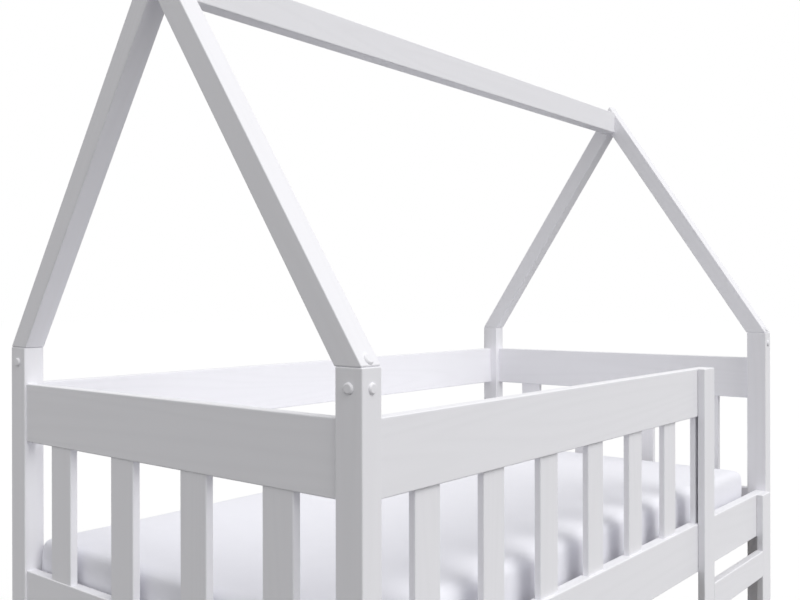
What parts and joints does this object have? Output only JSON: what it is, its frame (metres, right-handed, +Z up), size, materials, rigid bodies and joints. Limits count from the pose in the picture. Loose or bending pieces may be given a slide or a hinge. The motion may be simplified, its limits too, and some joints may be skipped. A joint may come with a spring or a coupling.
{
  "type": "raised house bed",
  "caption": "White raised house-frame bed for a child with slatted guard sides, a pitched roof frame, a board ladder at one end and a loose mattress on a slatted base.",
  "frame": {"origin": "on the floor, at the centre of the outer box", "axes": "+X along the length towards the ladder end, +Y from the ladder's side to the rear, +Z up"},
  "size_m": [2.1076, 1.0024, 2.0955],
  "materials": {
    "white_painted_pine": "satin white paint",
    "bare_pine": "planed, unpainted",
    "zinc_steel": "zinc plated",
    "white_caps": "smooth moulded",
    "glide_plastic": "moulded",
    "strap_webbing": "woven webbing",
    "mattress_sheet": "fitted cotton jersey sheet"
  },
  "bodies": {
    "bed_frame": {"base_slat_screws": "zinc_steel", "base_slats": "bare_pine", "end_guard_rail_left": "white_painted_pine", "end_guard_rail_right": "white_painted_pine", "end_lower_rail_left": "white_painted_pine", "end_lower_rail_right": "white_painted_pine", "front_guard_rail": "white_painted_pine", "front_side_rail": "white_painted_pine", "front_slat_1": "white_painted_pine", "front_slat_2": "white_painted_pine", "front_slat_3": "white_painted_pine", "front_slat_4": "white_painted_pine", "front_slat_5": "white_painted_pine", "front_slat_6": "white_painted_pine", "front_slat_7": "white_painted_pine", "ladder_glides": "glide_plastic", "ladder_rung_1": "white_painted_pine", "ladder_rung_2": "white_painted_pine", "ladder_rung_3": "white_painted_pine", "ladder_screws": "zinc_steel", "ladder_upright_left": "white_painted_pine", "ladder_upright_right": "white_painted_pine", "ledger_front": "bare_pine", "ledger_rear": "bare_pine", "ledger_screws": "zinc_steel", "left_end_slat_1": "white_painted_pine", "left_end_slat_2": "white_painted_pine", "left_end_slat_3": "white_painted_pine", "left_end_slat_4": "white_painted_pine", "plate_screws": "zinc_steel", "post_front_left": "white_painted_pine", "post_front_right": "white_painted_pine", "post_glides": "glide_plastic", "post_rear_left": "white_painted_pine", "post_rear_right": "white_painted_pine", "rafter_front_left": "white_painted_pine", "rafter_front_right": "white_painted_pine", "rafter_rear_left": "white_painted_pine", "rafter_rear_right": "white_painted_pine", "rafter_tenons": "bare_pine", "rail_dowels": "bare_pine", "rail_hook_plates": "zinc_steel", "rail_slot_plates": "zinc_steel", "rear_guard_rail": "white_painted_pine", "rear_side_rail": "white_painted_pine", "ridge_beam": "white_painted_pine", "ridge_screws": "zinc_steel", "right_end_slat_1": "white_painted_pine", "right_end_slat_2": "white_painted_pine", "right_end_slat_3": "white_painted_pine", "right_end_slat_4": "white_painted_pine", "roof_dowels": "bare_pine", "rung_dowels": "bare_pine", "screw_caps": "white_caps", "slat_straps": "strap_webbing", "tenon_screws": "zinc_steel"},
    "mattress": {"mattress": "mattress_sheet"}
  },
  "joints": [
    {"name": "mattress_lift", "type": "slide", "parent": "bed_frame", "child": "mattress", "axis": [0, 0, 1], "range_m": [0, 0.3]}
  ]
}
